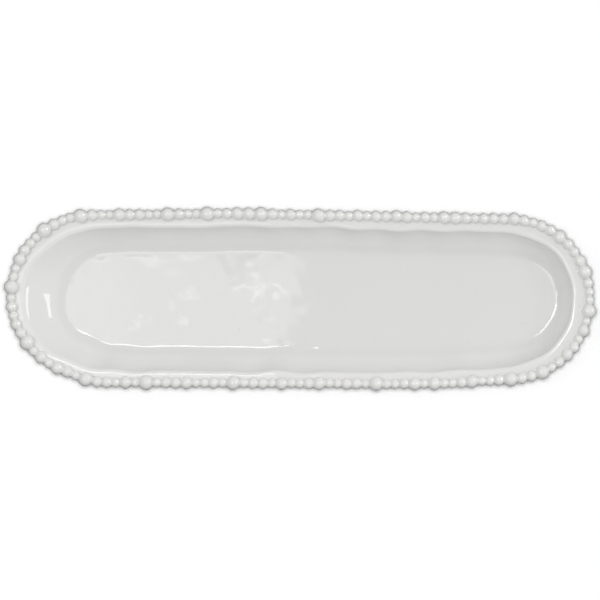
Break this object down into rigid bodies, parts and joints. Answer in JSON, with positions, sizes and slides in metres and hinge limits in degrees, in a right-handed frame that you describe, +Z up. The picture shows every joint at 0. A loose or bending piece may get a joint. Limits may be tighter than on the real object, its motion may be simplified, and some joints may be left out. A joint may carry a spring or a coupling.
{
  "type": "asparagus plate",
  "caption": "Long white-glazed asparagus plate with round ends, a sloping wall and a ledge edged with a row of uneven clay balls.",
  "frame": {"origin": "on the surface the plate stands on, under the middle of its outline", "axes": "+X along the length of the plate, towards the end that the floor sits nearer to; +Y across it; +Z up, out of the hollow"},
  "size_m": [0.3991, 0.1243, 0.0318],
  "materials": {
    "glaze": "gloss",
    "bare_clay": "matte"
  },
  "bodies": {
    "root": {"dish": "glaze", "foot_ring": "bare_clay", "small_balls": "glaze", "medium_balls": "glaze", "large_balls": "glaze", "largest_balls": "glaze"}
  },
  "joints": []
}
